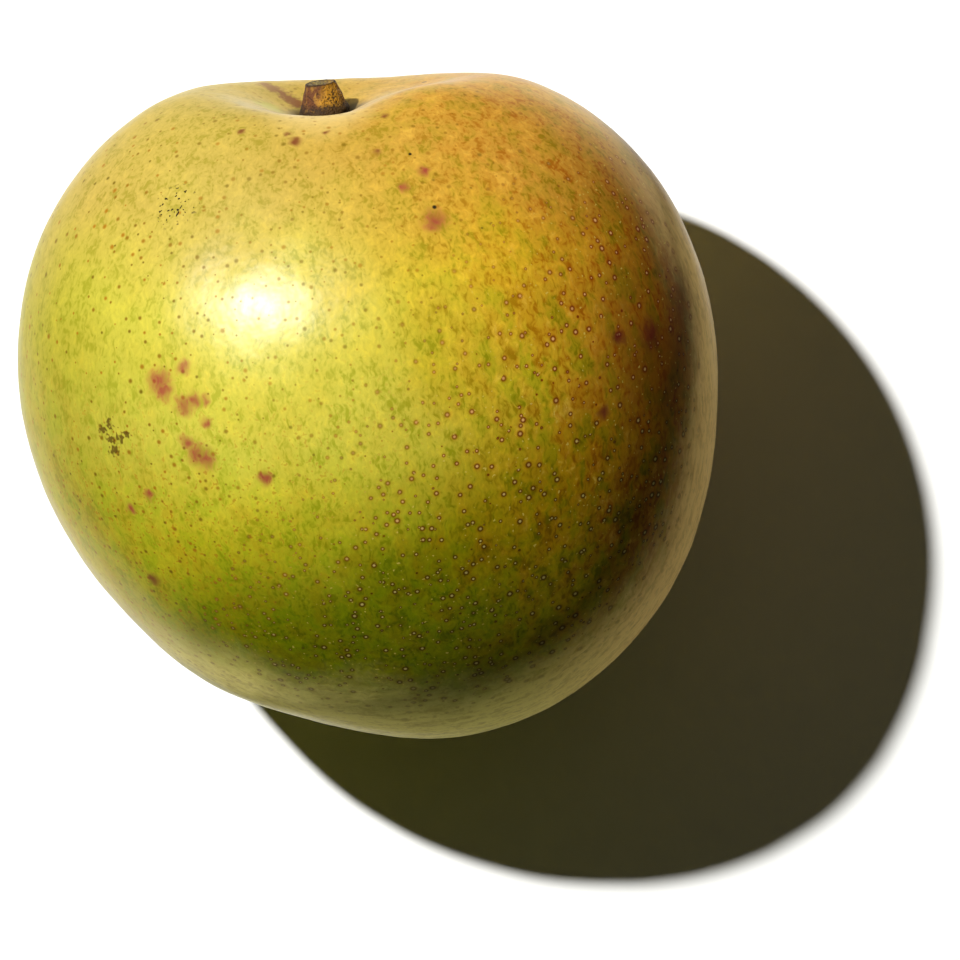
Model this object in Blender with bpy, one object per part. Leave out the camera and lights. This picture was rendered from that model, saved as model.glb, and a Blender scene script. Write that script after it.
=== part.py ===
"""A round mango lying on one cheek, with the short stub of its stem.

Metres, +Z up. The stem points along +Y and a little up, the back of the fruit
faces +X, and the origin is under the middle of the fruit, on the surface it rests on.
"""

import math

import bmesh
import bpy
import numpy as np
from mathutils import Matrix, Vector

MM = 0.001

# Outlines of the fruit stood on its tip, as (out from the stem's axis, up) in mm
# from the middle of the fruit, each running from the stem's hollow to the tip.
HOLLOW_FLOOR = 41.5
TIP = -48.7
BACK = (
    (7.0, 42.5),
    (15.0, 43.0),
    (23.0, 43.3),
    (32.0, 39.8),
    (41.0, 31.5),
    (48.8, 13.0),
    (48.4, -8.5),
    (41.2, -28.5),
    (24.0, -44.7),
)
BELLY = (
    (6.0, 43.0),
    (14.5, 46.8),
    (26.0, 44.8),
    (39.7, 33.0),
    (47.8, 12.5),
    (46.0, -8.0),
    (36.7, -26.5),
    (27.3, -36.5),
    (14.5, -43.4),
    (8.0, -46.3),
)
CHEEK = (
    (7.5, 42.4),
    (14.0, 43.9),
    (26.5, 37.9),
    (38.3, 23.0),
    (41.6, 9.8),
    (37.6, -17.0),
    (23.1, -38.0),
)

# A crease in the skin close round the stem.
CREASE_DEPTH = 0.8
CREASE_REACH = 5.5

# The shoulder that swells beside the hollow, between the back and the upper cheek.
SHOULDER_RISE = 2.0
SHOULDER_OUT = 17.0
SHOULDER_WIDTH = 8.5
SHOULDER_AROUND = math.radians(-36.0)
SHOULDER_SWEEP = math.radians(30.0)

# How the fruit lies: the stem end stands higher than the tip, on a small flat spot.
STEM_RISE = math.radians(15.0)
FLAT_DEPTH = 0.7

# The stub of the stem in mm, from its root in the fruit to its cut end.
STEM_ROOT_RADIUS = 3.2
STEM_FOOT_RADIUS = 3.6
STEM_NECK_RADIUS = 2.9
STEM_TOP_RADIUS = 2.2
STEM_FOOT = 42.2
STEM_NECK = 43.8
STEM_TOP = 46.0
STEM_LEAN = 0.1
STEM_FLUTES = 3
FLUTE_DEPTH = 0.12
FLUTE_TURN = 0.6
SOCKET_DEPTH = 2.8
GAP = 0.3

AROUND = 64
SKIN_RINGS = 46
RING_CROWDING = 0.5
STEM_SIDES = 20

SKIN_COLOUR = (0.52, 0.42, 0.06)
SKIN_ROUGHNESS = 0.35
STEM_COLOUR = (0.20, 0.10, 0.03)
STEM_ROUGHNESS = 0.7
SHARP_EDGE = math.radians(50.0)


def smooth_closed_curve(points):
    """The radius at any angle of the smoothest closed curve through (out, up) points."""
    placed = sorted((math.atan2(out, up), math.hypot(out, up)) for out, up in points)
    angles = np.array([angle for angle, radius in placed])
    radii = np.array([radius for angle, radius in placed])
    count = len(placed)
    steps = np.diff(np.append(angles, angles[0] + math.tau))
    slopes = (np.roll(radii, -1) - radii) / steps
    stiffness = np.zeros((count, count))
    for here in range(count):
        before = (here - 1) % count
        after = (here + 1) % count
        stiffness[here, before] = steps[before]
        stiffness[here, here] = 2 * (steps[before] + steps[here])
        stiffness[here, after] = steps[here]
    bends = np.linalg.solve(stiffness, 6 * (slopes - np.roll(slopes, 1)))

    def radius_at(angle):
        angle = (angle - angles[0]) % math.tau + angles[0]
        here = int(np.searchsorted(angles, angle, side="right")) - 1
        after = (here + 1) % count
        step = steps[here]
        past = angle - angles[here]
        ahead = step - past
        start = bends[here] * (ahead**3 / step - ahead * step) / 6 + radii[here] * ahead / step
        end = bends[after] * (past**3 / step - past * step) / 6 + radii[after] * past / step
        return start + end

    return radius_at


def mirrored(points):
    return [(-out, up) for out, up in points]


AXIS_POINTS = [(0.0, HOLLOW_FLOOR), (0.0, TIP)]
edge_radius = smooth_closed_curve([*AXIS_POINTS, *BACK, *mirrored(BELLY)])
cheek_radius = smooth_closed_curve([*AXIS_POINTS, *CHEEK, *mirrored(CHEEK)])


def swelling(value, middle, width):
    """1 at the middle, falling smoothly to nothing about two widths away."""
    return math.exp(-(((value - middle) / width) ** 2))


def skin_point(polar, around):
    """A point of the skin: polar runs from the stem to the tip, around starts at the back."""
    back = edge_radius(polar) ** -2
    belly = edge_radius(-polar) ** -2
    cheek = cheek_radius(polar) ** -2
    across = math.cos(around)
    flatness = (back + belly) / 2 * across**2 + (back - belly) / 2 * across + cheek * (1 - across**2)
    radius = flatness**-0.5
    out = radius * math.sin(polar)
    up = radius * math.cos(polar)
    if up > 0:
        up -= CREASE_DEPTH * math.exp(-((out / CREASE_REACH) ** 4))
        beside = swelling(out, SHOULDER_OUT, SHOULDER_WIDTH)
        up += SHOULDER_RISE * beside * swelling(around, SHOULDER_AROUND, SHOULDER_SWEEP)
    return Vector((out * across, out * math.sin(around), up)) * MM


def turn(step, count):
    """The angle of a step round the axis, from half a turn back to half a turn on."""
    return math.tau * step / count - math.pi


def bridge(bm, upper, lower):
    """Quads between two rings of the same number of points."""
    count = len(upper)
    for i in range(count):
        j = (i + 1) % count
        bm.faces.new((upper[i], lower[i], lower[j], upper[j]))


def material(name, colour, roughness):
    made = bpy.data.materials.new(name)
    made.use_nodes = True
    shader = made.node_tree.nodes["Principled BSDF"]
    shader.inputs["Base Color"].default_value = (*colour, 1.0)
    shader.inputs["Roughness"].default_value = roughness
    return made


def finished(name, bm, made_of):
    """Turns a bmesh into a smooth-shaded object of one material."""
    bmesh.ops.recalc_face_normals(bm, faces=bm.faces)
    mesh = bpy.data.meshes.new(name)
    bm.to_mesh(mesh)
    bm.free()
    mesh.shade_smooth()
    mesh.set_sharp_from_angle(angle=SHARP_EDGE)
    mesh.materials.append(made_of)
    made = bpy.data.objects.new(name, mesh)
    bpy.context.scene.collection.objects.link(made)
    return made


def press_flat(bm, lying):
    """Flattens the lowest part of the skin to the surface the fruit lies on."""
    rested = [(vert, lying @ vert.co) for vert in bm.verts]
    surface = min(point.z for vert, point in rested) + FLAT_DEPTH * MM
    standing = lying.inverted()
    for vert, point in rested:
        if point.z < surface:
            vert.co = standing @ Vector((point.x, point.y, surface))


def fruit(lying):
    """The whole fruit in one solid, with an open socket for the stem."""
    bm = bmesh.new()
    socket_radius = STEM_FOOT_RADIUS + GAP
    socket_floor = HOLLOW_FLOOR - CREASE_DEPTH - SOCKET_DEPTH
    floor = [
        bm.verts.new(
            Vector((math.cos(turn(i, AROUND)), math.sin(turn(i, AROUND)), 0)) * socket_radius * MM
            + Vector((0, 0, socket_floor * MM))
        )
        for i in range(AROUND)
    ]
    bm.faces.new(floor)
    first = math.atan2(socket_radius, HOLLOW_FLOOR)
    upper = floor
    for k in range(SKIN_RINGS):
        share = k / SKIN_RINGS
        crowded = share - RING_CROWDING * math.sin(math.tau * share) / math.tau
        polar = first + (math.pi - first) * crowded
        lower = [bm.verts.new(skin_point(polar, turn(i, AROUND))) for i in range(AROUND)]
        bridge(bm, upper, lower)
        upper = lower
    tip = bm.verts.new((0, 0, TIP * MM))
    for i in range(AROUND):
        bm.faces.new((upper[i], tip, upper[(i + 1) % AROUND]))
    press_flat(bm, lying)
    return finished("fruit", bm, material("skin", SKIN_COLOUR, SKIN_ROUGHNESS))


def stem():
    """The woody stub: a straight root in the socket, a flared foot and a fluted, leaning top."""
    mouth = HOLLOW_FLOOR - CREASE_DEPTH
    levels = (
        (STEM_ROOT_RADIUS, mouth - SOCKET_DEPTH + GAP),
        (STEM_ROOT_RADIUS, mouth),
        (STEM_FOOT_RADIUS, STEM_FOOT),
        (STEM_NECK_RADIUS, STEM_NECK),
        (STEM_TOP_RADIUS, STEM_TOP),
    )
    bm = bmesh.new()
    upper = None
    for radius, up in reversed(levels):
        free = max(0.0, (up - mouth) / (STEM_TOP - mouth))
        ring = []
        for i in range(STEM_SIDES):
            around = turn(i, STEM_SIDES)
            out = radius + FLUTE_DEPTH * free * math.sin(STEM_FLUTES * around + FLUTE_TURN)
            across = STEM_LEAN * free + out * math.cos(around)
            ring.append(bm.verts.new(Vector((across, out * math.sin(around), up)) * MM))
        if upper:
            bridge(bm, upper, ring)
        else:
            bm.faces.new(ring)
        upper = ring
    bm.faces.new(upper)
    return finished("stem", bm, material("stem_wood", STEM_COLOUR, STEM_ROUGHNESS))


def main():
    for leftover in list(bpy.data.objects):
        bpy.data.objects.remove(leftover)
    lying = Matrix.Rotation(STEM_RISE - math.pi / 2, 4, "X")
    pieces = (fruit(lying), stem())
    corners = [lying @ vert.co for vert in pieces[0].data.vertices]
    middle = Vector()
    for axis in (0, 1):
        reach = [point[axis] for point in corners]
        middle[axis] = (min(reach) + max(reach)) / 2
    middle.z = min(point.z for point in corners)
    mango = bpy.data.objects.new("mango", None)
    mango.rotation_euler = lying.to_euler()
    mango.location = -middle
    bpy.context.scene.collection.objects.link(mango)
    for piece in pieces:
        piece.parent = mango


main()
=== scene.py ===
import math

import bpy
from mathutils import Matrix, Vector


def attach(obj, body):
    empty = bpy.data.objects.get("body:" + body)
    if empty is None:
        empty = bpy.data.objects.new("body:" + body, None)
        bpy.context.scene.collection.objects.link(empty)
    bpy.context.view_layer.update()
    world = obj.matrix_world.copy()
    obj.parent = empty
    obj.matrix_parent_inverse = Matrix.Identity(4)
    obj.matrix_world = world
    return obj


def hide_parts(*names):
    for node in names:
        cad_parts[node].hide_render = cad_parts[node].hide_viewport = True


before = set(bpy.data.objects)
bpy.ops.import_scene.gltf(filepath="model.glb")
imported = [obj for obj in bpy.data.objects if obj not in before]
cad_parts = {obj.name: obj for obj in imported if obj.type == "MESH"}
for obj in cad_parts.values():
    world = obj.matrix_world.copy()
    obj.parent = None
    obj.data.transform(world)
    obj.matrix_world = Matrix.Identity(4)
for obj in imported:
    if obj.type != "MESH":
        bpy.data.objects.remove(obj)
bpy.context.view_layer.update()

MM = 0.001

# The camera looks straight down, a little turned, from over the fruit.
CAMERA_PLACE = Vector((0.0132, -0.0123, 0.650))
CAMERA_TURN = math.radians(-8.3)
CAMERA_LENS = 163.4
CAMERA_FILM = 36.0

# One small lamp, up to the left of the stem, and a faint glow from the side behind the fruit.
LAMP_AZIMUTH = math.radians(132.4)
LAMP_HEIGHT_ANGLE = math.radians(54.6)
LAMP_DISTANCE = 0.849
LAMP_DIAMETER = 0.030
LAMP_POWER = 13.8
ROOM_COLOUR = (0.95, 0.90, 0.55, 1.0)
ROOM_GLOW = 0.003
SIDE_GLOW = 0.16
SIDE_GLOW_EDGE = 0.5
TO_SIDE_GLOW = (0.25, 0.80, 0.50)

# The table is white round the fruit and greys outwards.
TABLE_SIZE = 4.0
TABLE_WHITE = (0.84, 0.84, 0.81, 1.0)
TABLE_GREY = (0.12, 0.12, 0.12, 1.0)
TABLE_ROUGHNESS = 0.9
TABLE_GLOSS = 0.2
WHITE_MIDDLE = (0.025, 0.010, 0.0)
GREY_FADE = (230.0, 300.0)

# The fruit's own axes, to its back, its stem and its upper cheek, and its middle in mm along them.
STEM_RISE = math.radians(15.0)
TO_BACK = Vector((1.0, 0.0, 0.0))
TO_STEM = Vector((0.0, math.cos(STEM_RISE), math.sin(STEM_RISE)))
TO_CHEEK = Vector((0.0, -math.sin(STEM_RISE), math.cos(STEM_RISE)))
FRUIT_MIDDLE = Vector((0.0, 12.5, 39.1))

# The skin as a mesh, with the hollow round the stem drawn in to it.
MERGE = 0.00002
SKIN_SUBDIVISIONS = 2
SOCKET_RADIUS = 4.2 * MM
SOCKET_DEEP = 6.5 * MM
SOCKET_NARROWING = 0.74
SOCKET_RISE = 1.3 * MM

# Each broad flat on the upper cheek has its middle and how far it is pressed in.
FLATS = (
    (Vector((-17.5, 16.8, 80.0)) * MM, 0.68 * MM),
    (Vector((-4.6, 16.8, 82.0)) * MM, 0.50 * MM),
)
FLAT_REACH = 23.0 * MM

# Each set of waves has its name, the size of its waves and how deep they go.
SKIN_WAVES = (
    ("broad_waves", 11.0 * MM, 0.30 * MM),
    ("fine_waves", 3.2 * MM, 0.07 * MM),
)
RESTING_EDGE = 3.0 * MM

# The stub of the stem: each ring's radius and how far it lies below the cut end, in mm.
STEM_SIDES = 48
STEM_ROOT = (3.2, 7.6)
STEM_RINGS = (
    (3.2, 5.4),
    (3.45, 4.7),
    (3.66, 4.1),
    (3.50, 3.6),
    (3.16, 3.0),
    (2.92, 2.2),
    (2.70, 1.5),
    (2.45, 0.9),
    (2.28, 0.4),
    (2.20, 0.12),
    (2.10, 0.0),
    (1.90, 0.07),
    (1.45, 0.12),
    (0.80, 0.10),
)
STEM_SUBDIVISIONS = 2
BARK_WAVES = ("bark_lumps", 1.3 * MM, 0.24 * MM)

# A finish changes from place to place by fades. A fade has the value where it starts, the value where it
# ends and, where that isn't 1, how far it goes. The values are mm along the fruit's own axes, or noise of
# about -0.5 to 0.5, unless the comment above them says otherwise. Where a place and a noise are added, the
# noise's factor is how far it moves the edge, in mm.

# Noises, each with the size of its lumps in mm, its detail, its roughness and its distortion.
CLOUD = (13.0, 1.0)
HUE = (3.0, 2.0, 0.65)
PATCH = (1.9, 4.0, 0.7)
FIBRE = (0.5, 1.0, 0.6)
WRINKLE = (0.9, 2.0, 0.6)
GRIT = (0.42, 0.0)
PEEL = (1.4, 1.0)
BARK_BLOTCH = (1.3, 3.0, 0.6, 0.3)
BARK_SPECK = (0.28, 1.0)

# What a place is multiplied by, so that the lumps are drawn out along one of the axes.
LUMPS_DRAWN_OUT = (1.0, 0.55, 1.0)
FIBRES_DRAWN_OUT = (1.0, 0.40, 1.0)
WRINKLES_DRAWN_OUT = (0.24, 0.24, 1.0)
BARK_DRAWN_OUT = (1.0, 0.6, 1.0)

# What a place is multiplied by, so that only its distance from the stem's axis is left.
ROUND_THE_STEM = (1.0, 0.0, 1.0)

# How the edges of the skin's colours wander, in mm.
WANDER_SIZE = 1.25
WANDER_REACH = 0.9

# The ground colour, from unripe to blushed. The blush is fuller on the upper side.
GREEN_YELLOW = (0.415, 0.378, 0.045, 1.0)
YELLOW = (0.385, 0.292, 0.016, 1.0)
GOLDEN = (0.45, 0.280, 0.011, 1.0)
ORANGE_TAN = (0.37, 0.180, 0.008, 1.0)
RED_BROWN = (0.17, 0.050, 0.002, 1.0)
RIPENING = (
    (0.05, GREEN_YELLOW),
    (0.28, YELLOW),
    (0.55, GOLDEN),
    (0.80, ORANGE_TAN),
    (1.00, RED_BROWN),
)
LEAST_RIPE = 0.10
RIPER_WITH_BLUSH = 0.85
BLUSH_FADE = (-2.0, 56.0)
LOWER_BLUSH = 0.5
UPPER_BLUSH_FADE = (-25.0, 8.0, 0.5)

# The skin at the left, round the stem and at the tip.
LEFT_GREEN = (0.250, 0.220, 0.019, 1.0)
LEFT_FADE = (-16.0, -46.0, 0.95)
TOP_STRAW = (0.305, 0.215, 0.045, 1.0)
TOP_TAN = (0.39, 0.190, 0.024, 1.0)
TOP_TAN_FADE = (-20.0, 25.0)
TOP_FADE = (20.0, 38.0, 0.85)
TIP_GREEN = (0.142, 0.150, 0.0006, 1.0)
TIP_OLIVE = (0.29, 0.232, 0.002, 1.0)
TIP_OLIVE_FADE = (5.0, 26.0)
TIP_RUSSET = (0.26, 0.118, 0.002, 1.0)
TIP_RUSSET_FADE = (-18.0, 32.0)
TIP_FADE = (-1.0, 19.0)
TIP_COVER = 0.95
DEEP_TINT = (0.93, 0.95, 0.15, 1.0)
DEEP_FADE = (8.0, -12.0, 0.8)

# Where the fibres and patches show most. The first fade is of the blush.
BLUSHED_FADE = (0.0, 0.6)
TOP_CALM_FADE = (6.0, 28.0, 0.6)
UNRIPE_FADE = (12.0, -26.0, 0.60)
LEAST_LIVELY = 0.60
LIVELY_FADE = (-32.0, 24.0, 0.40)

# The fibres and patches themselves, by fades of noise. The pale patches end towards the back.
PALE_PATCH = (0.56, 0.43, 0.07, 1.0)
PATCHES_END_FADE = (46.0, 24.0)
PALE_PATCH_FADE = (0.05, 0.30, 0.55)
OLIVE_CAST = (0.66, 0.92, 0.40, 1.0)
OLIVE_CAST_FADE = (0.00, -0.12, 0.8)
RED_CAST = (0.92, 0.68, 0.50, 1.0)
RED_CAST_FADE = (0.02, 0.13, 0.65)
LIGHT_TINT = (1.24, 1.22, 1.20, 1.0)
LIGHT_FADE = (0.02, 0.24)
OLIVE_TINT = (0.53, 0.60, 0.13, 1.0)
RUST_TINT = (0.70, 0.38, 0.16, 1.0)
RUST_FADE = (-0.06, 0.06)
DARK_FADE = (0.04, -0.22)

# The painted reflection and bounce light of the lit white table: a pale band round the side in shade,
# which starts lower at the back and ends above the underside.
REFLECTED_TABLE_STRAW = (0.86, 0.76, 0.16, 1.0)
REFLECTED_TABLE_PALE = (0.95, 0.64, 0.19, 1.0)
REFLECTED_TABLE_PALE_FADE = (8.0, 38.0)
REFLECTED_TABLE_SIDE_FADE = (-6.0, 20.0)
REFLECTED_TABLE_TOP = 25.5
REFLECTED_TABLE_TOP_DROP = 4.0
REFLECTED_TABLE_FULL = 12.5
UNDERSIDE_FADE = (7.0, -15.0, 0.9)
REFLECTED_TABLE_COVER = 0.85
WRINKLE_TINT = (0.56, 0.50, 0.34, 1.0)
WRINKLE_FADE = (0.10, -0.30, 0.6)

# Coloured parts, each with its place along the fruit's own axes and its radius, in mm. From here on, a
# fade on a mark or a line runs from 0 at its edge to 1 at its middle.
FLUSH = (38.5, 5.0, 26.0, 13.0)
FLUSH_FADE = (0.0, 0.9, 0.6)
LIP = (-1.0, 43.0, 14.5, 9.0)
LIP_CREAM = (0.58, 0.42, 0.15, 1.0)
LIP_FADE = (0.0, 0.8, 0.55)
GREEN_CREASE = (-8.0, 42.0, -1.0, 3.0)
LEAF_GREEN = (0.25, 0.26, 0.015, 1.0)
GREEN_CREASE_FADE = (0.0, 0.6, 0.75)

# The russet streak beside the stem, with its two ends and its width, and painted shade over dark russet
# skin in the hollow close to the stem.
STREAKS = (
    ((-8.4, 43.6, -10.8), (-4.2, 41.0, -5.6), 1.8),
)
RUSSET = (0.12, 0.030, 0.011, 1.0)
STREAK_FADE = (0.0, 0.8, 0.9)
HOLLOW_RUSSET_AND_SHADE = (0.045, 0.026, 0.008, 1.0)
HOLLOW_SHADE_FADE = (7.0, 4.6, 0.9)
STEM_END_FADE = (20.0, 30.0)

# Pores, scattered over a round shell and ringed towards the back and the tip. The shell's reach, the
# spacing and the radii are in mm, and the shift and the miss are in spacings.
SKIN_REACH = 45.0
PORE_SPACING = 1.6
PORE_SHIFT = 7.3
PORE_MISS = 0.38
PLAIN_PORE_RADIUS = 0.381
RINGED_PORE_RADIUS = 0.504
SMALLEST_PORE = 0.46
LEAST_WHOLE = 0.001
RINGED_FADE = (-14.0, 14.0)
PORE_CROWD = 0.58
TIP_CROWD_FADE = (2.0, -14.0, 0.22)
TOP_THINNING_FADE = (26.0, 38.0, 0.30)
REFLECTED_TABLE_THINNING = 0.85

# The colours of a pore. Its fades are in shares of its radius, out from its middle, but for LEFT_PORE_FADE
# in mm along the fruit's own axes, and WHOLE_PORE_FADE in how whole the pore is.
PORE_OLIVE = (0.090, 0.058, 0.003, 1.0)
PORE_OCHRE = (0.240, 0.095, 0.004, 1.0)
PORE_RING = (0.135, 0.020, 0.002, 1.0)
PORE_RING_GREEN = (0.055, 0.026, 0.001, 1.0)
PORE_STRENGTH = 0.62
LEFT_PORE_FADE = (-12.0, -30.0, 0.28)
RINGED_STRENGTH = 0.30
PORE_EDGE = 1.4
PLAIN_PORE_FULL = 0.30
RINGED_PORE_FULL = 0.65
HALO_FADE = (2.6, 1.0, 0.45)
PORE_CORE = (0.62, 0.33, 0.12, 1.0)
PORE_CORE_GREEN = (0.44, 0.36, 0.11, 1.0)
CORE_FADE = (0.66, 0.20)
WHOLE_PORE_FADE = (0.4, 0.75)
FAINTEST_CORE = 0.65

# Specks: pale ones on the blushed side, ochre blots low on the other and a black sprinkle at one place.
PALE_SPECK = (0.55, 0.42, 0.08, 1.0)
PALE_SPECK_FADE = (0.27, 0.33, 0.6)
BLOTTED_FADE = (24.0, -6.0)
OCHRE_BLOT_FADE = (0.14, 0.30, 0.6)
BLACK_SPECKLE = (-21.6, 35.0, 23.5, 4.2)
SPECKLE_FADE = (0.0, 0.5)
BLACK_SPECK_FADE = (-0.16, -0.24)

# Blemishes, each as its place along the fruit's own axes and its radius, in mm.
ROSY = (0.21, 0.024, 0.022, 1.0)
ROSY_FADE = (-0.5, 1.0, 0.9)
ROSY_MARKS = (
    (-26.8, 13.8, 33.8, 1.9),
    (-26.6, 12.6, 34.2, 1.5),
    (-23.4, 15.7, 35.0, 1.1),
    (-24.0, 10.6, 35.7, 1.5),
    (-22.6, 11.2, 36.3, 1.3),
    (-21.2, 11.2, 37.0, 0.9),
    (-21.4, 8.0, 37.2, 0.9),
    (-24.3, 5.6, 36.1, 1.2),
    (-23.4, 4.2, 36.5, 1.7),
    (-22.2, 3.4, 37.0, 1.6),
    (-14.6, 0.3, 39.6, 1.0),
    (-30.7, -1.7, 31.9, 0.9),
    (-33.6, -4.0, 29.3, 0.8),
    (12.3, 29.5, 31.3, 1.7),
    (11.8, 35.2, 25.9, 0.8),
    (8.9, 33.9, 28.0, 0.9),
)
DARK_RED = (0.100, 0.010, 0.008, 1.0)
DARK_RED_FADE = (-0.6, 0.9, 0.85)
DARK_RED_MARKS = (
    (-4.6, 40.7, 20.9, 0.8),
    (-5.3, 41.5, 19.4, 0.5),
    (-0.4, 41.1, 19.8, 0.5),
    (-11.5, 42.4, 17.3, 0.5),
    (7.4, 41.8, 17.2, 0.6),
    (6.0, 38.2, 23.7, 0.6),
    (-32.5, -14.9, 26.4, 1.1),
    (38.8, 8.4, 24.6, 1.9),
    (34.3, 9.5, 29.0, 1.2),
    (30.9, 0.5, 32.2, 0.9),
)
SCAB_BROWN = (0.060, 0.030, 0.004, 1.0)
SCAB_FADE = (-0.1, 0.6, 0.85)
SCABS = (
    (-34.6, 8.2, 29.1, 0.75),
    (-35.8, 7.0, 28.2, 0.85),
    (-34.8, 5.9, 29.1, 0.8),
    (-33.6, 5.9, 30.2, 0.8),
    (-32.5, 6.8, 31.0, 0.7),
    (-34.5, 4.4, 29.4, 1.0),
)
NEAR_BLACK = (0.018, 0.012, 0.004, 1.0)
BLACK_FADE = (-0.2, 0.3)
BLACK_MARKS = (
    (12.5, 31.0, 30.0, 0.40),
    (18.3, 27.5, 31.0, 0.28),
    (13.5, 41.6, -5.5, 0.45),
    (-1.5, 40.7, 20.8, 0.25),
    (10.3, 37.3, 23.9, 0.30),
)
SCRATCH_FADE = (0.0, 0.6, 0.6)
SCRATCHES = (
    ((27.0, 10.1, 34.1), (28.2, 11.4, 33.1), 0.16),
    ((2.3, -8.7, 40.4), (4.6, -8.6, 40.3), 0.13),
)

# The skin's surface. Its depths are in mm, and its fades run from 0 where the skin faces the eye to 1
# at its edge.
PEEL_DEPTH = 0.030
WRINKLE_DEPTH = 0.09
SKIN_ROUGHNESS = 0.33
PATCH_ROUGHNESS = 0.12
SKIN_GLOSS = 0.22
PORE_DULLNESS = 0.85
DULL_FADE = (0.07, 0.40, 0.95)
RIM_GLOSS_FADE = (0.72, 1.0, 0.75)
DOWNY_FADE = (0.42, 0.72)
EDGE_SHEEN = 0.36
SHEEN_TINT = (1.0, 0.82, 0.46, 1.0)

# The stem's bark and cut end, with depths in mm. The fades of the ochre side, the painted shade at the
# foot, the cut end and its rim are in mm from the end's middle, and the others are of noise.
BARK_PURPLE = (0.090, 0.032, 0.011, 1.0)
BARK_OCHRE = (0.30, 0.140, 0.010, 1.0)
BARK_OCHRE_FADE = (-0.3, 1.1)
BARK_PALE = (0.38, 0.20, 0.03, 1.0)
BARK_PALE_FADE = (0.02, 0.2, 0.5)
BARK_DARK = (0.024, 0.013, 0.006, 1.0)
BARK_DARK_FADE = (-0.04, -0.20, 0.85)
FOOT_SHADE_FADE = (-2.4, -3.5, 0.92)
CUT_OLIVE = (0.21, 0.155, 0.035, 1.0)
CUT_OLIVE_FADE = (-0.12, 0.12)
CUT_RIM_FADE = (1.45, 2.0)
CUT_FADE = (-0.45, -0.1)
BARK_SPECK_DEPTH = 0.20
BARK_BLOTCH_DEPTH = 0.22
BARK_ROUGHNESS = 0.7
BARK_SPECK_ROUGHNESS = 0.3
BARK_GLOSS = 0.12


def deselect():
    bpy.ops.object.select_all(action="DESELECT")


def pick(made):
    """Makes this object the only one selected."""
    deselect()
    bpy.context.view_layer.objects.active = made
    made.select_set(True)


def apply_modifiers(made):
    pick(made)
    for modifier in list(made.modifiers):
        bpy.ops.object.modifier_apply(modifier=modifier.name)


def stem_end():
    """The middle of the stem's cut end."""
    points = [vert.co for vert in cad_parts["stem"].data.vertices]
    reach = max(point.dot(TO_STEM) for point in points)
    end = [point for point in points if reach - point.dot(TO_STEM) < MERGE]
    return sum(end, Vector()) / len(end)


def own_place(point):
    """A point of the scene in mm along the fruit's own axes."""
    return Vector((point.dot(TO_BACK), point.dot(TO_STEM), point.dot(TO_CHEEK))) / MM - FRUIT_MIDDLE


CUT_END = stem_end()
CUT_END_OWN = own_place(CUT_END)


class Value:
    """A socket of a finish, with the usual arithmetic."""

    def __init__(self, finish, socket):
        self.finish = finish
        self.socket = socket

    def __add__(self, other):
        return self.finish.maths("ADD", self, other)

    def __sub__(self, other):
        return self.finish.maths("SUBTRACT", self, other)

    def __mul__(self, other):
        return self.finish.maths("MULTIPLY", self, other)

    def __truediv__(self, other):
        return self.finish.maths("DIVIDE", self, other)

    def __pow__(self, other):
        return self.finish.maths("POWER", self, other)

    def __rsub__(self, other):
        return self.finish.maths("SUBTRACT", other, self)

    def __rtruediv__(self, other):
        return self.finish.maths("DIVIDE", other, self)

    def __abs__(self):
        return self.finish.maths("ABSOLUTE", self)

    __radd__ = __add__
    __rmul__ = __mul__


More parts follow.
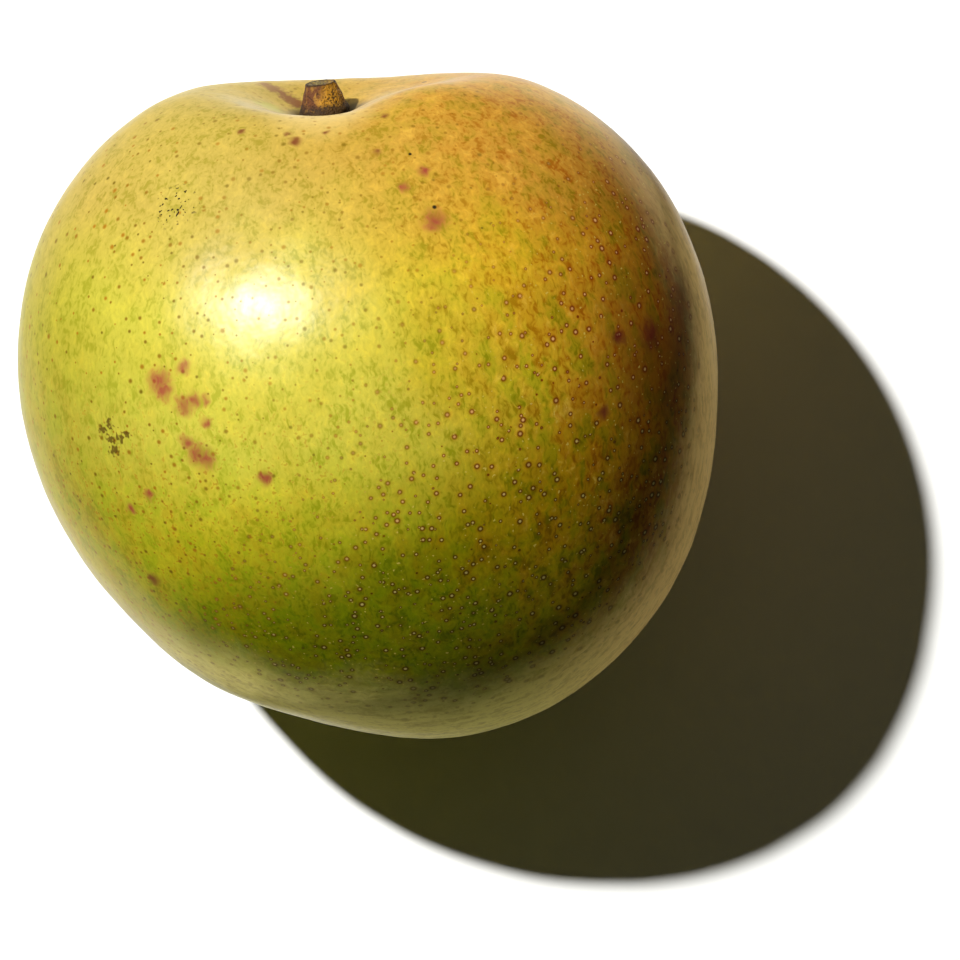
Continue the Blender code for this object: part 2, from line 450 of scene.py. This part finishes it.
class Finish:
    """A material being made, with short ways to its nodes."""

    def __init__(self, name):
        self.material = bpy.data.materials.new(name)
        self.material.use_nodes = True
        self.tree = self.material.node_tree
        self.shader = self.tree.nodes["Principled BSDF"]

    def put(self, socket, value):
        """Links a value to a socket, or sets it there."""
        if isinstance(value, Value):
            self.tree.links.new(value.socket, socket)
        else:
            socket.default_value = value

    def surface(self, **values):
        for name, value in values.items():
            self.put(self.shader.inputs[name.replace("_", " ")], value)

    def node(self, kind, settings, inputs, output=0):
        """A node of this kind, with its settings and inputs; gives one of its outputs."""
        made = self.tree.nodes.new("ShaderNode" + kind)
        for name, setting in settings.items():
            if name == "stops":
                elements = made.color_ramp.elements
                while len(elements) < len(setting):
                    elements.new(1.0)
                for element, (position, colour) in zip(elements, setting):
                    element.position = position
                    element.color = colour
            else:
                setattr(made, name, setting)
        for key, value in inputs.items():
            self.put(made.inputs[key], value)
        return Value(self, made.outputs[output])

    def maths(self, operation, *values):
        return self.node("Math", {"operation": operation}, dict(enumerate(values)))

    def greater(self, one, other):
        return self.maths("MAXIMUM", one, other)

    def vector(self, operation, *values, output=0):
        return self.node("VectorMath", {"operation": operation}, dict(enumerate(values)), output)

    def scaled(self, place, amount):
        return self.node("VectorMath", {"operation": "SCALE"}, {"Vector": place, "Scale": amount})

    def multiplied(self, place, by):
        return self.vector("MULTIPLY", place, by)

    def parts(self, place):
        """The three numbers of a place."""
        return [self.node("SeparateXYZ", {}, {0: place}, axis) for axis in range(3)]

    def fade(self, value, start, end, full=1.0):
        """0 at the start, rising smoothly to full at the end."""
        inputs = {"Value": value, "From Min": start, "From Max": end, "To Max": full}
        return self.node("MapRange", {"interpolation_type": "SMOOTHSTEP"}, inputs)

    def mixed(self, share, one, other):
        """One colour turning to the other as the share goes from 0 to 1."""
        return self.node("Mix", {"data_type": "RGBA"}, {0: share, 6: one, 7: other}, 2)

    def tinted(self, share, colour, tint):
        """The colour, multiplied by the tint as far as the share goes."""
        inputs = {0: share, 6: colour, 7: tint}
        return self.node("Mix", {"data_type": "RGBA", "blend_type": "MULTIPLY"}, inputs, 2)

    def ramp(self, value, stops):
        return self.node("ValToRGB", {"stops": stops}, {0: value})

    def noise(self, place, size, detail, roughness=0.5, distortion=0.0):
        """Cloudy noise about zero, with lumps of this size."""
        inputs = {
            "Vector": place,
            "Scale": 1.0 / size,
            "Detail": detail,
            "Roughness": roughness,
            "Distortion": distortion,
        }
        return self.node("TexNoise", {}, inputs) - 0.5

    def own_places(self):
        """Places in mm from the fruit's middle, along its own axes."""
        place = self.scaled(self.node("TexCoord", {}, {}, "Object"), 1.0 / MM)
        inputs = {"Vector": place, "Rotation": (-STEM_RISE, 0.0, 0.0), "Location": -FRUIT_MIDDLE}
        return self.node("Mapping", {}, inputs)

    def spots(self, place, marks):
        """1 at the middle of the nearest mark, 0 at its edge and less beyond."""
        nearest = None
        for x, y, z, radius in marks:
            spot = 1.0 - self.vector("DISTANCE", place, (x, y, z), output="Value") / radius
            nearest = spot if nearest is None else self.greater(nearest, spot)
        return nearest

    def lines(self, place, marks):
        """1 along the nearest line, 0 at its edge and less beyond."""
        nearest = None
        for start, end, width in marks:
            run = Vector(end) - Vector(start)
            from_start = self.vector("SUBTRACT", place, start)
            along = self.vector("DOT_PRODUCT", from_start, run / run.length_squared, output="Value")
            within = self.node("Clamp", {}, {0: along})
            off = self.vector("DISTANCE", from_start, self.scaled(tuple(run), within), output="Value")
            line = 1.0 - off / width
            nearest = line if nearest is None else self.greater(nearest, line)
        return nearest

    def pores(self, place):
        """Round spots scattered over the skin.

        Gives how far off the middle of the nearest is in mm, how whole it is and its three chances.
        """
        shell = SKIN_REACH / PORE_SPACING
        shift = (PORE_SHIFT, PORE_SHIFT, PORE_SHIFT)
        on_shell = self.scaled(self.vector("NORMALIZE", place), shell)
        inputs = {"Vector": self.vector("ADD", on_shell, shift), "Scale": 1.0}
        near = self.node("TexVoronoi", {}, inputs, "Position")
        chances = Value(self, near.socket.node.outputs["Color"])
        middle = self.vector("SUBTRACT", near, shift)
        miss = abs(self.vector("LENGTH", middle, output="Value") - shell) / PORE_MISS
        drawn_in = self.scaled(self.vector("NORMALIZE", middle), shell)
        off = self.vector("DISTANCE", on_shell, drawn_in, output="Value") * PORE_SPACING
        whole = self.greater(1.0 - miss * miss, 0.0) ** 0.5
        return off, whole, self.parts(chances)

    def dulled_at_edges(self, colour, normal, matt_marks):
        """Takes the gloss away in the marks and towards the edges, but for the very rim."""
        values = {"Base Color": colour, "Normal": normal, "Roughness": 1.0, "Specular IOR Level": 0.0}
        matt = self.node("BsdfPrincipled", {}, values)
        values.update({"Sheen Weight": EDGE_SHEEN, "Sheen Tint": SHEEN_TINT})
        downy = self.node("BsdfPrincipled", {}, values)
        edge = self.node("LayerWeight", {}, {"Blend": 0.5}, "Facing")
        dull = self.node("MixShader", {}, {0: self.fade(edge, *DOWNY_FADE), 1: matt, 2: downy})
        share = self.fade(edge, *DULL_FADE) * (1.0 - self.fade(edge, *RIM_GLOSS_FADE))
        share = self.greater(share, matt_marks)
        shiny = Value(self, self.shader.outputs[0])
        mixed = self.node("MixShader", {}, {0: share, 1: shiny, 2: dull})
        self.put(self.tree.nodes["Material Output"].inputs["Surface"], mixed)


class SkinPattern:
    """The places on the skin and the noises that its colours share."""

    def __init__(self, finish):
        self.place = finish.own_places()
        self.back, self.stem, self.cheek = finish.parts(self.place)
        inputs = {"Vector": self.place, "Scale": 1.0 / WANDER_SIZE, "Detail": 0.0}
        drift = finish.vector("SUBTRACT", finish.node("TexNoise", {}, inputs, "Color"), (0.5, 0.5, 0.5))
        self.wandering = finish.vector("ADD", self.place, finish.scaled(drift, WANDER_REACH))
        lumpy = finish.multiplied(self.wandering, LUMPS_DRAWN_OUT)
        self.cloud = finish.noise(self.place, *CLOUD)
        self.hue = finish.noise(lumpy, *HUE)
        self.patch = finish.noise(lumpy, *PATCH)
        self.fibre = finish.noise(finish.multiplied(self.wandering, FIBRES_DRAWN_OUT), *FIBRE)
        self.wrinkle = finish.noise(finish.multiplied(self.wandering, WRINKLES_DRAWN_OUT), *WRINKLE)
        self.grit = finish.noise(self.place, *GRIT)
        self.ringed = finish.fade(self.back * 0.8 - self.stem * 0.8, *RINGED_FADE)


def ground_colour(finish, at):
    """The skin from unripe to blushed; gives its colour and how blushed it is."""
    upper = finish.fade(at.cheek, *UPPER_BLUSH_FADE) + LOWER_BLUSH
    blush = finish.fade(at.back * 1.1 + at.stem * 0.3, *BLUSH_FADE) * upper
    ripeness = blush * RIPER_WITH_BLUSH + LEAST_RIPE + at.cloud * 0.25 + at.patch * 0.22
    return finish.ramp(ripeness, RIPENING), blush


def end_colours(finish, at, colour):
    """The green left side, the pale stem end and the green tip; gives the colour and how much is tip."""
    colour = finish.mixed(finish.fade(at.back, *LEFT_FADE), colour, LEFT_GREEN)
    top = finish.fade(at.stem + at.cloud * 12.0, *TOP_FADE)
    top_colour = finish.mixed(finish.fade(at.back, *TOP_TAN_FADE), TOP_STRAW, TOP_TAN)
    colour = finish.mixed(top, colour, top_colour)
    tip = finish.fade(at.back * 0.3 - at.stem + at.cloud * 10.0 + at.patch * 7.0, *TIP_FADE)
    russet = finish.fade(at.back + at.stem * 0.8 + at.hue * 40.0, *TIP_RUSSET_FADE)
    tip_colour = finish.mixed(finish.fade(at.back, *TIP_OLIVE_FADE), TIP_GREEN, TIP_OLIVE)
    tip_colour = finish.mixed(russet, tip_colour, TIP_RUSSET)
    colour = finish.mixed(tip * TIP_COVER, colour, tip_colour)
    return finish.tinted(finish.fade(at.stem, *DEEP_FADE), colour, DEEP_TINT), tip


def mottled(finish, at, colour, blush):
    """Pale patches, olive and red casts, and lighter and darker fibres."""
    blushed = finish.fade(blush, *BLUSHED_FADE) * (1.0 - finish.fade(at.stem, *TOP_CALM_FADE))
    touched = finish.greater(blushed, finish.fade(at.back * 0.4 + at.stem, *UNRIPE_FADE))
    patchy = blushed * finish.fade(at.back, *PATCHES_END_FADE)
    pale = finish.fade(at.patch + at.hue * 0.5, *PALE_PATCH_FADE) * patchy
    colour = finish.mixed(pale, colour, PALE_PATCH)
    colour = finish.tinted(finish.fade(at.hue, *OLIVE_CAST_FADE) * touched, colour, OLIVE_CAST)
    colour = finish.tinted(finish.fade(at.hue, *RED_CAST_FADE) * touched, colour, RED_CAST)
    lively = finish.fade(at.back * 0.7 - at.stem * 0.5, *LIVELY_FADE) + LEAST_LIVELY
    mottle = at.patch + at.fibre * 0.6
    colour = finish.tinted(finish.fade(mottle, *LIGHT_FADE) * lively, colour, LIGHT_TINT)
    dark_tint = finish.mixed(finish.fade(at.hue, *RUST_FADE) * blush, OLIVE_TINT, RUST_TINT)
    return finish.tinted(finish.fade(mottle, *DARK_FADE) * lively, colour, dark_tint)


def painted_table_reflection(finish, at, colour):
    """A painted reflection and bounce light of the table: a pale, wrinkled band on the side in shade;
    gives the colour and where it is.
    """
    towards_back = finish.fade(at.back, *REFLECTED_TABLE_PALE_FADE)
    height = at.cheek + at.stem * 0.15 + at.patch * 7.0 + at.cloud * 8.0
    low = finish.fade(height, REFLECTED_TABLE_TOP - towards_back * REFLECTED_TABLE_TOP_DROP, REFLECTED_TABLE_FULL)
    side = finish.fade(at.back * 0.7 - at.stem, *REFLECTED_TABLE_SIDE_FADE)
    table_reflection = low * side * (1.0 - finish.fade(at.cheek + at.patch * 8.0, *UNDERSIDE_FADE))
    pale = finish.mixed(towards_back, REFLECTED_TABLE_STRAW, REFLECTED_TABLE_PALE)
    streak = finish.fade(at.wrinkle * 1.4 + at.fibre * 0.5, *WRINKLE_FADE)
    pale = finish.tinted(streak, pale, WRINKLE_TINT)
    return finish.mixed(table_reflection * REFLECTED_TABLE_COVER, colour, pale), table_reflection


def flushed(finish, at, colour):
    """A dark flush on the back."""
    flush = finish.spots(at.wandering, (FLUSH,)) + at.patch * 0.8
    return finish.mixed(finish.fade(flush, *FLUSH_FADE), colour, RED_BROWN)


def round_the_stem(finish, at, colour):
    """The hollow's pale lip, the green and the russet in its creases and painted shade over dark russet
    skin by the stem.
    """
    lip = finish.spots(at.wandering, (LIP,))
    colour = finish.mixed(finish.fade(lip, *LIP_FADE), colour, LIP_CREAM)
    crease = finish.spots(at.wandering, (GREEN_CREASE,))
    colour = finish.mixed(finish.fade(crease, *GREEN_CREASE_FADE), colour, LEAF_GREEN)
    streak = finish.lines(at.wandering, STREAKS) + at.patch * 1.4 + at.grit * 0.6
    colour = finish.mixed(finish.fade(streak, *STREAK_FADE), colour, RUSSET)
    flat = finish.multiplied(at.wandering, ROUND_THE_STEM)
    from_stem = finish.vector("DISTANCE", flat, (CUT_END_OWN.x, 0.0, CUT_END_OWN.z), output="Value")
    # Painted shade over dark russet skin in the hollow close to the stem.
    close = finish.fade(from_stem, *HOLLOW_SHADE_FADE) * finish.fade(at.stem, *STEM_END_FADE)
    return finish.mixed(close, colour, HOLLOW_RUSSET_AND_SHADE)


def pored(finish, at, colour, tip, table_reflection):
    """Dark rings with pale middles on the blushed side, and olive and ochre dots on the other.

    Gives the colour and where the dots and rings are.
    """
    off, whole, (chance, size_chance, tone_chance) = finish.pores(at.place)
    thinned = finish.fade(at.stem, *TOP_THINNING_FADE) * at.ringed
    crowd = finish.fade(at.stem, *TIP_CROWD_FADE) + PORE_CROWD - thinned
    there = finish.maths("LESS_THAN", chance, crowd) * (1.0 - table_reflection * REFLECTED_TABLE_THINNING)
    largest = at.ringed * (RINGED_PORE_RADIUS - PLAIN_PORE_RADIUS) + PLAIN_PORE_RADIUS
    radius = largest * (size_chance * (1.0 - SMALLEST_PORE) + SMALLEST_PORE)
    reach = off / (radius * (whole + LEAST_WHOLE))
    full = at.ringed * (RINGED_PORE_FULL - PLAIN_PORE_FULL) + PLAIN_PORE_FULL
    strength = finish.fade(at.back, *LEFT_PORE_FADE) + PORE_STRENGTH + at.ringed * RINGED_STRENGTH
    ring = finish.fade(reach, PORE_EDGE, full) * there * strength
    ringed_there = there * at.ringed
    colour = finish.tinted(finish.fade(reach, *HALO_FADE) * ringed_there, colour, RED_CAST)
    dot_colour = finish.mixed(tone_chance, PORE_OLIVE, PORE_OCHRE)
    ring_colour = finish.mixed(tip, PORE_RING, PORE_RING_GREEN)
    colour = finish.mixed(ring, colour, finish.mixed(at.ringed, dot_colour, ring_colour))
    core = finish.fade(reach, *CORE_FADE) * finish.fade(whole, *WHOLE_PORE_FADE) * ringed_there
    core = core * (tone_chance * (1.0 - FAINTEST_CORE) + FAINTEST_CORE)
    core_colour = finish.mixed(tip, PORE_CORE, PORE_CORE_GREEN)
    return finish.mixed(core, colour, core_colour), ring


def specked(finish, at, colour):
    """Pale specks on the blushed side, ochre blots low on the other and a sprinkle of black."""
    pale = finish.fade(at.grit, *PALE_SPECK_FADE) * at.ringed
    colour = finish.mixed(pale, colour, PALE_SPECK)
    blotted = finish.fade(at.stem, *BLOTTED_FADE) * (1.0 - at.ringed)
    blot = finish.fade(at.fibre + at.grit * 0.7, *OCHRE_BLOT_FADE) * blotted
    colour = finish.mixed(blot, colour, PORE_OCHRE)
    speckled = finish.fade(finish.spots(at.place, (BLACK_SPECKLE,)), *SPECKLE_FADE)
    black = finish.fade(at.grit + at.patch * 0.4, *BLACK_SPECK_FADE) * speckled
    return finish.mixed(black, colour, NEAR_BLACK)


def blemished(finish, at, colour):
    """Rosy and dark red marks, scabs, black dots and scratches."""
    rosy = finish.spots(at.wandering, ROSY_MARKS) + at.patch * 1.4 + at.fibre * 0.8
    colour = finish.mixed(finish.fade(rosy, *ROSY_FADE), colour, ROSY)
    dark_red = finish.spots(at.wandering, DARK_RED_MARKS) + at.patch * 1.6
    colour = finish.mixed(finish.fade(dark_red, *DARK_RED_FADE), colour, DARK_RED)
    scab = finish.spots(at.wandering, SCABS) + at.patch * 1.5 + at.grit * 2.0
    colour = finish.mixed(finish.fade(scab, *SCAB_FADE), colour, SCAB_BROWN)
    black = finish.spots(at.place, BLACK_MARKS)
    colour = finish.mixed(finish.fade(black, *BLACK_FADE), colour, NEAR_BLACK)
    scratch = finish.lines(at.place, SCRATCHES)
    return finish.mixed(finish.fade(scratch, *SCRATCH_FADE), colour, PALE_SPECK)


def skin():
    """Waxy skin: a ripening ground, a painted reflection of the table on the side in shade, pores, specks
    and blemishes.
    """
    finish = Finish("mango_skin")
    at = SkinPattern(finish)
    colour, blush = ground_colour(finish, at)
    colour, tip = end_colours(finish, at, colour)
    colour = mottled(finish, at, colour, blush)
    # A painted reflection and bounce light of the white table, as a pale band on the side in shade.
    colour, table_reflection = painted_table_reflection(finish, at, colour)
    colour = flushed(finish, at, colour)
    colour = round_the_stem(finish, at, colour)
    colour, ring = pored(finish, at, colour, tip, table_reflection)
    colour = specked(finish, at, colour)
    colour = blemished(finish, at, colour)
    relief = finish.noise(at.place, *PEEL) * PEEL_DEPTH + at.wrinkle * table_reflection * WRINKLE_DEPTH
    bump = finish.node("Bump", {}, {"Strength": 1.0, "Distance": MM, "Height": relief})
    rough = at.patch * PATCH_ROUGHNESS + SKIN_ROUGHNESS
    finish.surface(Base_Color=colour, Roughness=rough, Normal=bump, Specular_IOR_Level=SKIN_GLOSS)
    finish.dulled_at_edges(colour, bump, ring * PORE_DULLNESS)
    return finish.material


def stem_wood():
    """Fluted bark, purple-brown on one side and ochre on the other, with a speckled cut end."""
    finish = Finish("stem_wood")
    from_end = finish.vector("SUBTRACT", finish.own_places(), tuple(CUT_END_OWN))
    across, along = finish.parts(from_end)[:2]
    blotch = finish.noise(finish.multiplied(from_end, BARK_DRAWN_OUT), *BARK_BLOTCH)
    speck = finish.noise(from_end, *BARK_SPECK)
    side = finish.fade(across * 0.9 - along * 0.3 + blotch * 3.2, *BARK_OCHRE_FADE)
    colour = finish.mixed(side, BARK_PURPLE, BARK_OCHRE)
    colour = finish.mixed(finish.fade(blotch, *BARK_PALE_FADE), colour, BARK_PALE)
    colour = finish.mixed(finish.fade(speck + blotch * 0.6, *BARK_DARK_FADE), colour, BARK_DARK)
    # Painted shade, darkening the foot where the stem sinks into the crevice of the hollow.
    foot = finish.fade(along + blotch * 1.6 + speck * 1.5, *FOOT_SHADE_FADE)
    colour = finish.mixed(foot, colour, BARK_DARK)
    level = finish.multiplied(from_end, ROUND_THE_STEM)
    rim = finish.vector("LENGTH", level, output="Value") + blotch * 0.8
    cut = finish.mixed(finish.fade(speck + blotch * 0.5, *CUT_OLIVE_FADE), BARK_DARK, CUT_OLIVE)
    cut = finish.mixed(finish.fade(rim, *CUT_RIM_FADE), cut, BARK_DARK)
    colour = finish.mixed(finish.fade(along + blotch * 0.3, *CUT_FADE), colour, cut)
    relief = speck * BARK_SPECK_DEPTH + blotch * BARK_BLOTCH_DEPTH
    bump = finish.node("Bump", {}, {"Strength": 1.0, "Distance": MM, "Height": relief})
    rough = speck * BARK_SPECK_ROUGHNESS + BARK_ROUGHNESS
    finish.surface(Base_Color=colour, Roughness=rough, Normal=bump, Specular_IOR_Level=BARK_GLOSS)
    return finish.material


def table_white():
    """White under the fruit, greying outwards."""
    finish = Finish("table_white")
    place = finish.node("TexCoord", {}, {}, "Object")
    out = finish.vector("DISTANCE", place, WHITE_MIDDLE, output="Value") / MM
    colour = finish.mixed(finish.fade(out, *GREY_FADE), TABLE_WHITE, TABLE_GREY)
    finish.surface(Base_Color=colour, Roughness=TABLE_ROUGHNESS, Specular_IOR_Level=TABLE_GLOSS)
    return finish.material


def waves(made, name, size, depth):
    """Presses the surface in, in waves of this size, as far as this depth."""
    clouds = bpy.data.textures.new(name, "CLOUDS")
    clouds.noise_scale = size
    clouds.noise_depth = 1
    pressed = made.modifiers.new(name, "DISPLACE")
    pressed.texture = clouds
    pressed.texture_coords = "LOCAL"
    pressed.mid_level = 1.0
    pressed.strength = depth
    return pressed


def smoothed(made, levels):
    smoother = made.modifiers.new("smoother", "SUBSURF")
    smoother.levels = levels
    smoother.render_levels = levels


def draw_in_socket(made):
    """Narrows the floor of the stem's socket and lifts it."""
    for vert in made.data.vertices:
        from_end = vert.co - CUT_END
        depth = -from_end.dot(TO_STEM)
        out = from_end + depth * TO_STEM
        if out.length < SOCKET_RADIUS and depth > SOCKET_DEEP:
            vert.co = vert.co - out * (1.0 - SOCKET_NARROWING) + TO_STEM * SOCKET_RISE


def press_in(made):
    """Two broad soft flats, side by side on the upper cheek."""
    pick(made)
    for place, depth in FLATS:
        spot = min(made.data.vertices, key=lambda vert: (vert.co - place).length)
        spot.select = True
        bpy.ops.object.mode_set(mode="EDIT")
        bpy.ops.transform.translate(
            value=-depth * spot.normal,
            use_proportional_edit=True,
            proportional_edit_falloff="SMOOTH",
            proportional_size=FLAT_REACH,
        )
        bpy.ops.mesh.select_all(action="DESELECT")
        bpy.ops.object.mode_set(mode="OBJECT")


def wave_skin(made):
    """Presses soft waves into the skin, down to nothing where it rests."""
    off_table = made.vertex_groups.new(name="off_table")
    for vert in made.data.vertices:
        off_table.add([vert.index], min(1.0, vert.co.z / RESTING_EDGE), "REPLACE")
    for name, size, depth in SKIN_WAVES:
        waves(made, name, size, depth).vertex_group = off_table.name
    apply_modifiers(made)


def fruit():
    """The fruit with its skin smoothed and waved, and the hollow drawn in to the stem."""
    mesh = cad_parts["fruit"].data.copy()
    mesh.materials.clear()
    made = bpy.data.objects.new("fruit_skin", mesh)
    bpy.context.scene.collection.objects.link(made)
    pick(made)
    bpy.ops.mesh.customdata_custom_splitnormals_clear()
    bpy.ops.object.mode_set(mode="EDIT")
    bpy.ops.mesh.select_all(action="SELECT")
    bpy.ops.mesh.remove_doubles(threshold=MERGE)
    bpy.ops.mesh.tris_convert_to_quads()
    bpy.ops.mesh.select_all(action="DESELECT")
    bpy.ops.object.mode_set(mode="OBJECT")
    draw_in_socket(made)
    press_in(made)
    smoothed(made, SKIN_SUBDIVISIONS)
    apply_modifiers(made)
    wave_skin(made)
    bpy.ops.object.shade_smooth()
    mesh.materials.append(skin())
    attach(made, "root")
    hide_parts("fruit")


def stem():
    """The woody stub of the stem, from its root in the fruit to its worn cut end."""
    radius, depth = STEM_ROOT
    deselect()
    bpy.ops.mesh.primitive_circle_add(
        vertices=STEM_SIDES,
        radius=radius * MM,
        fill_type="NGON",
        location=CUT_END - TO_STEM * depth * MM,
        rotation=(STEM_RISE - math.pi / 2, 0.0, 0.0),
    )
    made = bpy.context.object
    made.name = "stem_stub"
    bpy.ops.object.transform_apply(location=True, rotation=True, scale=True)
    bpy.ops.object.mode_set(mode="EDIT")
    bpy.ops.mesh.select_all(action="SELECT")
    for next_radius, next_depth in STEM_RINGS:
        step = TO_STEM * (depth - next_depth) * MM
        bpy.ops.mesh.extrude_region_move(TRANSFORM_OT_translate={"value": step})
        grow = next_radius / radius
        bpy.ops.transform.resize(
            value=(grow, grow, grow),
            center_override=CUT_END - TO_STEM * next_depth * MM,
        )
        radius, depth = next_radius, next_depth
    bpy.ops.mesh.poke()
    bpy.ops.mesh.select_all(action="SELECT")
    bpy.ops.mesh.normals_make_consistent(inside=False)
    bpy.ops.mesh.select_all(action="DESELECT")
    bpy.ops.object.mode_set(mode="OBJECT")
    smoothed(made, STEM_SUBDIVISIONS)
    waves(made, *BARK_WAVES)
    apply_modifiers(made)
    bpy.ops.object.shade_smooth()
    made.data.materials.append(stem_wood())
    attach(made, "root")
    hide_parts("stem")


def table():
    deselect()
    bpy.ops.mesh.primitive_plane_add(size=TABLE_SIZE)
    made = bpy.context.object
    made.name = "table"
    made.data.materials.append(table_white())


def lamp():
    """A small round lamp, up at the left beyond the stem, turned to the fruit."""
    flat = LAMP_DISTANCE * math.cos(LAMP_HEIGHT_ANGLE)
    place = Vector((
        flat * math.cos(LAMP_AZIMUTH),
        flat * math.sin(LAMP_AZIMUTH),
        LAMP_DISTANCE * math.sin(LAMP_HEIGHT_ANGLE),
    ))
    light = bpy.data.lights.new("lamp", "AREA")
    light.shape = "DISK"
    light.size = LAMP_DIAMETER
    light.energy = LAMP_POWER
    made = bpy.data.objects.new("lamp", light)
    made.location = place
    made.rotation_euler = (-place).to_track_quat("-Z", "Y").to_euler()
    bpy.context.scene.collection.objects.link(made)


def room():
    """A dim room with a soft glow on one side."""
    world = bpy.data.worlds.new("room")
    world.use_nodes = True
    tree = world.node_tree
    background = tree.nodes["Background"]
    background.inputs["Color"].default_value = ROOM_COLOUR
    towards = tree.nodes.new("ShaderNodeTexCoord")
    facing = tree.nodes.new("ShaderNodeVectorMath")
    facing.operation = "DOT_PRODUCT"
    facing.inputs[1].default_value = TO_SIDE_GLOW
    glow = tree.nodes.new("ShaderNodeMapRange")
    glow.interpolation_type = "SMOOTHSTEP"
    glow.inputs["From Min"].default_value = SIDE_GLOW_EDGE
    glow.inputs["To Min"].default_value = ROOM_GLOW
    glow.inputs["To Max"].default_value = SIDE_GLOW
    tree.links.new(towards.outputs["Generated"], facing.inputs[0])
    tree.links.new(facing.outputs["Value"], glow.inputs["Value"])
    tree.links.new(glow.outputs["Result"], background.inputs["Strength"])
    bpy.context.scene.world = world
    bpy.context.scene.view_settings.view_transform = "Standard"


def camera():
    lens = bpy.data.cameras.new("camera")
    lens.lens = CAMERA_LENS
    lens.sensor_width = CAMERA_FILM
    made = bpy.data.objects.new("camera", lens)
    made.location = CAMERA_PLACE
    made.rotation_euler = (0.0, 0.0, CAMERA_TURN)
    bpy.context.scene.collection.objects.link(made)
    bpy.context.scene.camera = made


table()
lamp()
room()
camera()
fruit()
stem()
